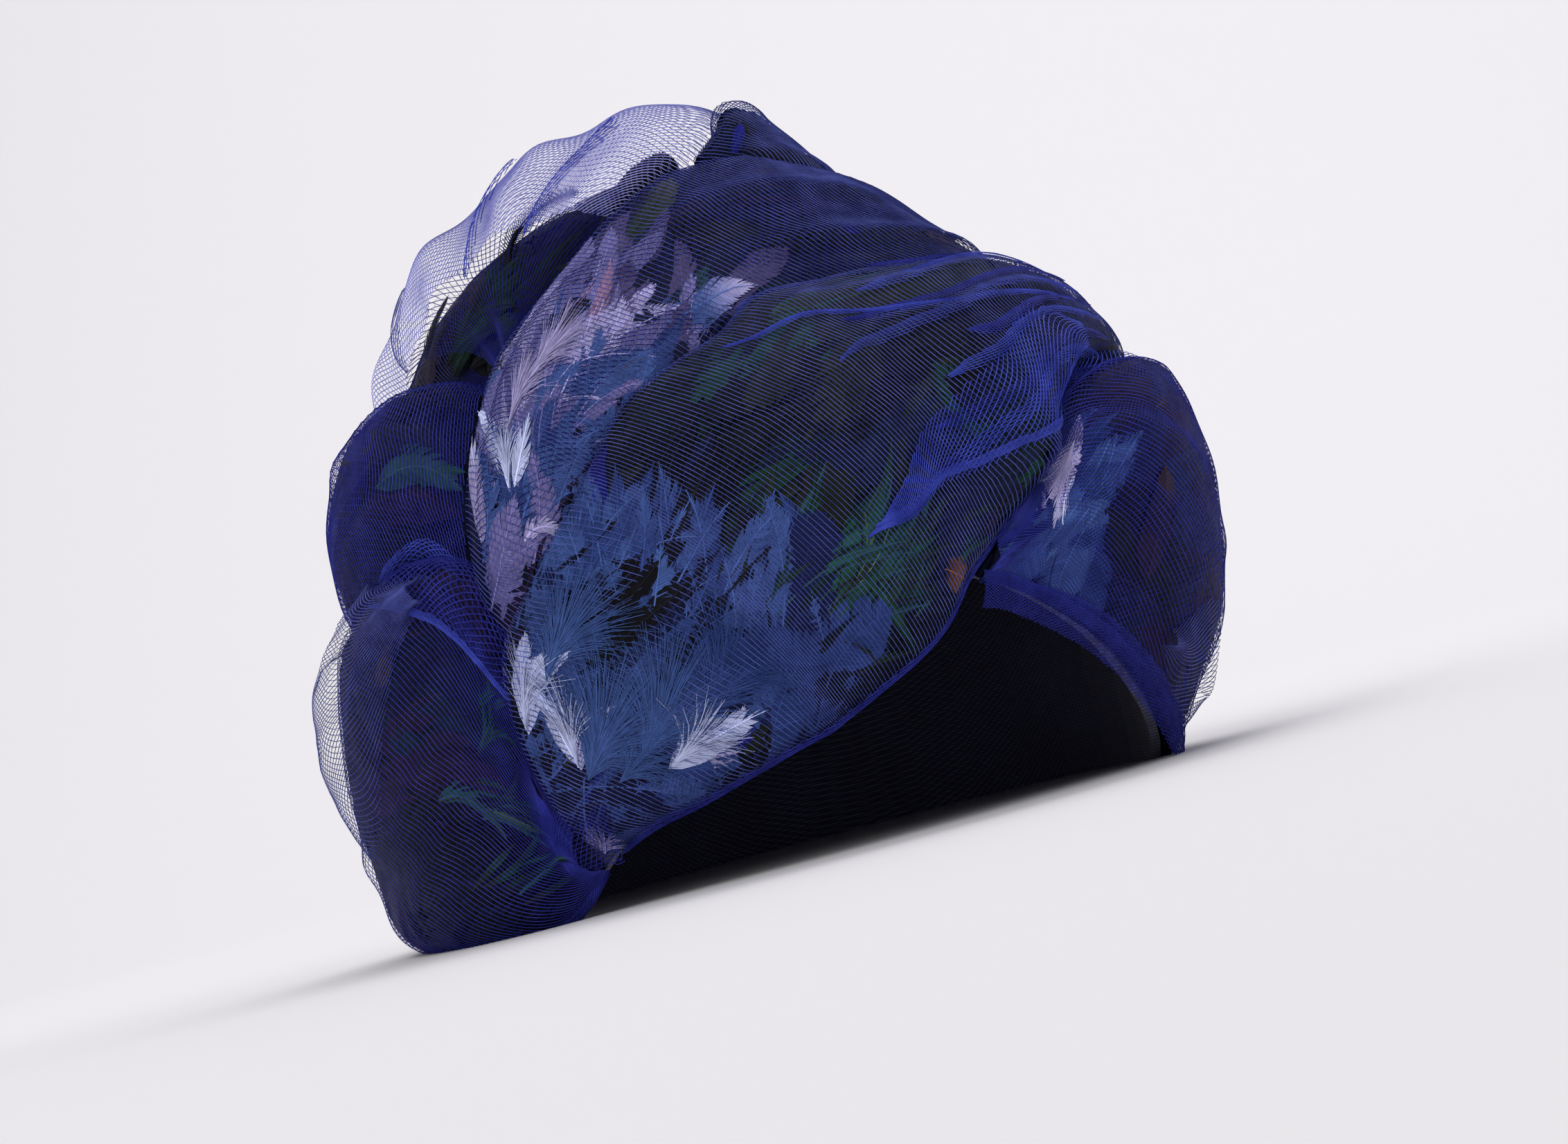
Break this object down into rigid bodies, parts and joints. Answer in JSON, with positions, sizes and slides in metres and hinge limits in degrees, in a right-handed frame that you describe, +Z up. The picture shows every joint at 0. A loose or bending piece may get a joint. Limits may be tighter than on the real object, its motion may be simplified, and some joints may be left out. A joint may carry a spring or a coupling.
{
  "type": "feather hat",
  "caption": "Tall turban-shaped feather hat with crossed net-covered swathes, a brow notch and a loose net pouf over the back of the crown.",
  "frame": {"origin": "centre of the hat's outline, on the surface it rests on", "axes": "+Z up through the crown; the wearer faces -Y and the wearer's right side is towards -X"},
  "size_m": [0.2072, 0.2236, 0.1768],
  "materials": {
    "crown_form": "stiff dark navy cloth",
    "feathers_navy": "navy and green iridescent feathers under royal blue net",
    "feathers_blue": "blue and purple feathers under royal blue net",
    "feathers_lilac": "navy feathers with lilac and white tips under royal blue net",
    "feathers_black": "glossy black feathers with a green sheen",
    "net_blue": "fine royal blue hexagonal net"
  },
  "bodies": {
    "root": {"crown_base": "crown_form", "front_swathe_right": "feathers_navy", "front_swathe_left": "feathers_blue", "crown_swathe_front": "feathers_lilac", "crown_swathe_top": "feathers_navy", "crown_swathe_back": "feathers_black", "side_swathe_right_mid": "feathers_navy", "side_swathe_right_low": "feathers_navy", "net_pouf": "net_blue", "plume_round_tip": "feathers_black", "plume_curl": "feathers_black"}
  },
  "joints": []
}
